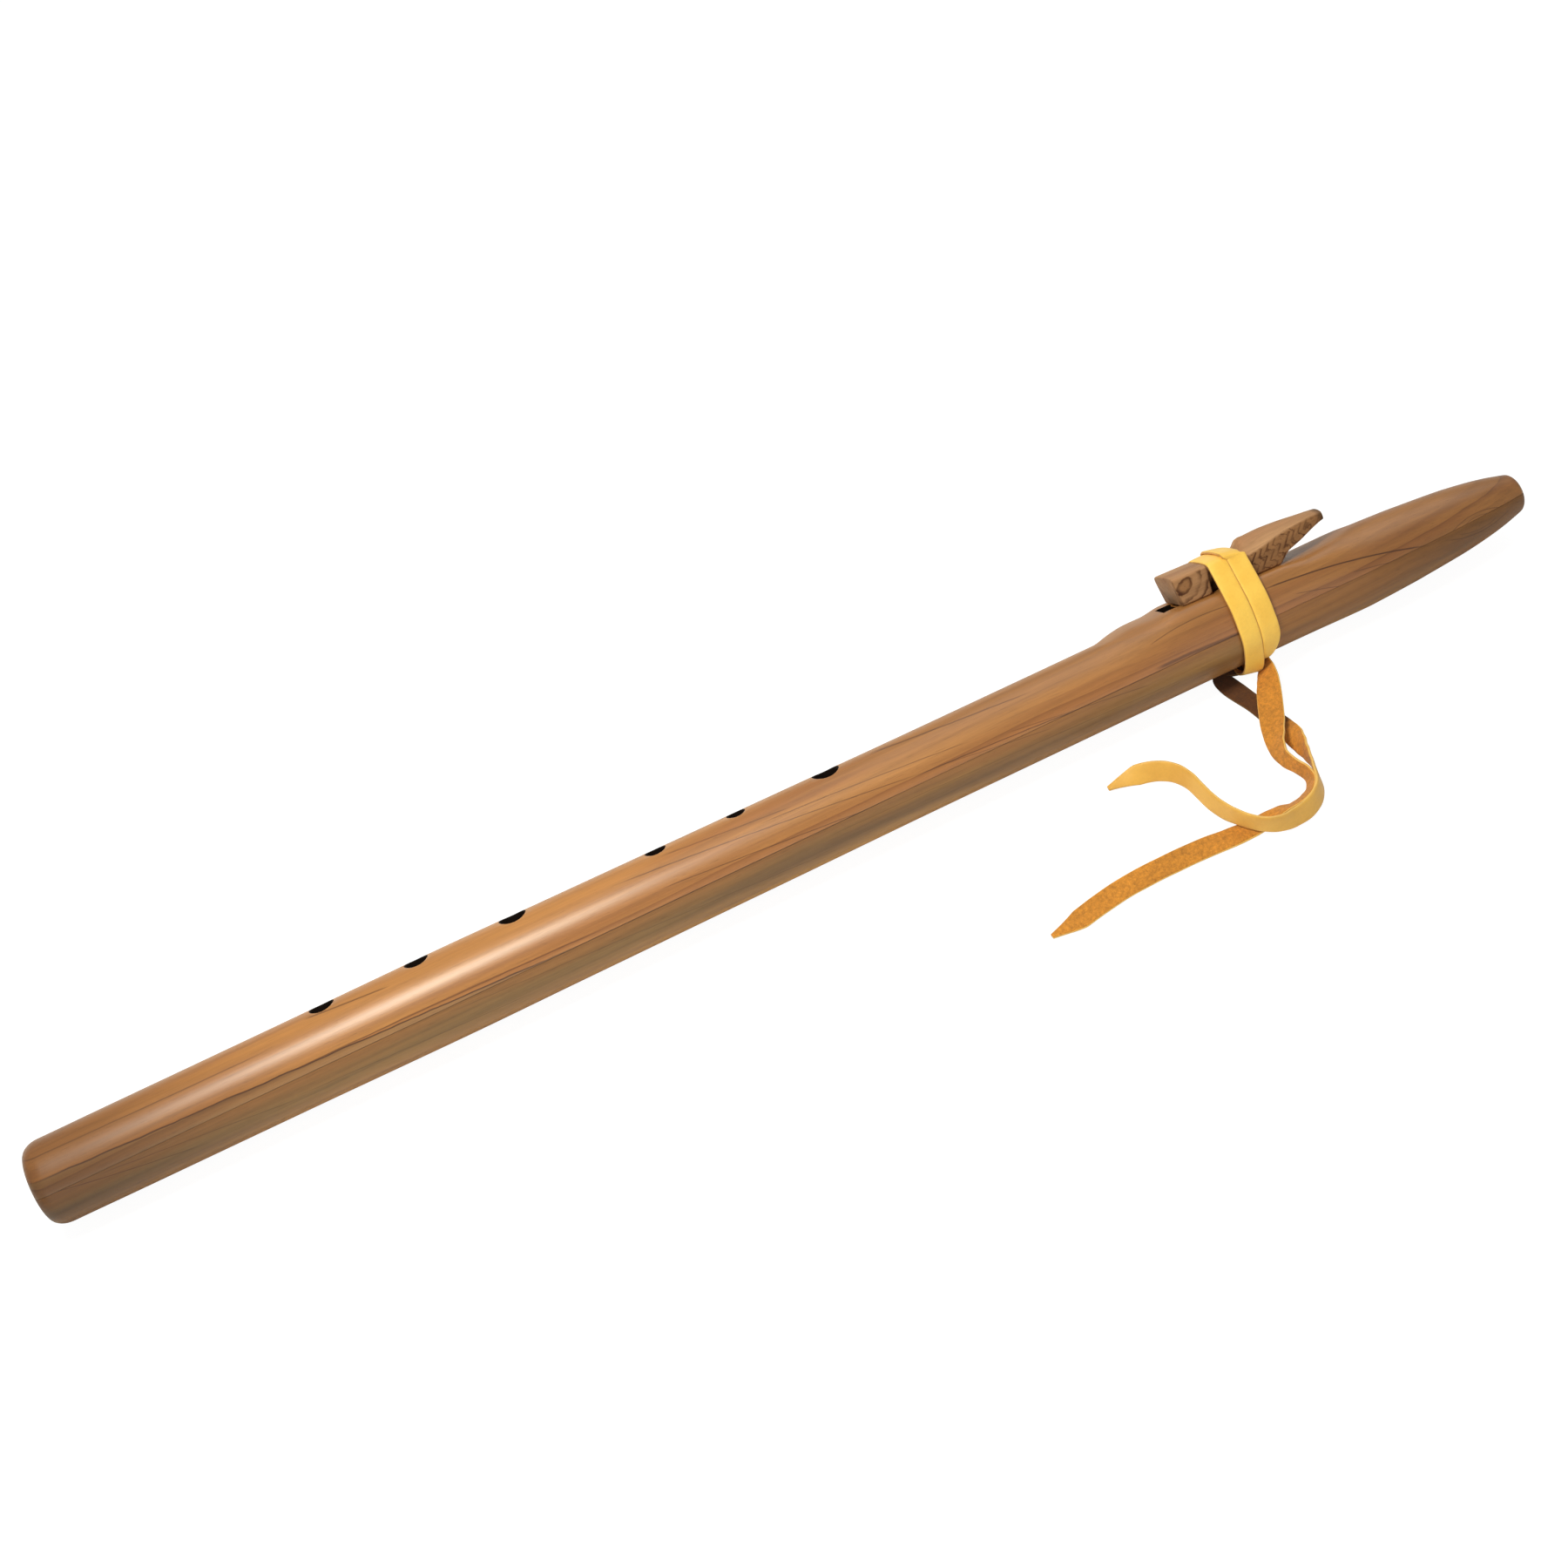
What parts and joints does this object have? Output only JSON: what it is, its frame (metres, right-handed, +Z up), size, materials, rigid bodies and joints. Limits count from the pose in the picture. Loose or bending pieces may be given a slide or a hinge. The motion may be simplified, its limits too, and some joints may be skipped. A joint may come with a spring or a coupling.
{
  "type": "native american flute",
  "caption": "Cedar duct flute of two glued half shells with finger holes, a carved block tied over the air way by a yellow leather lace with free ends.",
  "frame": {"origin": "on the table, under the middle of the flute's own box without the lace's free ends", "axes": "+X along the flute from the foot to the mouth end, +Y away from the viewer, the way the block side leans, +Z up from the table"},
  "size_m": [0.6146, 0.1106, 0.0459],
  "materials": {
    "cedar_upper": "warm brown cedar, satin oiled, fine grain along the flute",
    "cedar_lower": "greyer brown cedar, satin oiled",
    "cedar_block": "pinkish brown cedar, dull, with end grain figure",
    "lace_leather": "smooth yellow lace leather",
    "suede_leather": "yellow lace leather with its orange suede side out"
  },
  "bodies": {
    "flute_body": {"body_upper_half": "cedar_upper", "body_lower_half": "cedar_lower"},
    "block_and_tie": {"totem_block": "cedar_block", "lace_winding": "lace_leather", "lace_knot": "lace_leather", "lace_tail_front": "suede_leather", "lace_tail_back": "suede_leather"}
  },
  "joints": [
    {"name": "block_slide", "type": "slide", "parent": "flute_body", "child": "block_and_tie", "axis": [1, 0, 0], "range_m": [-0.002, 0.003]}
  ]
}
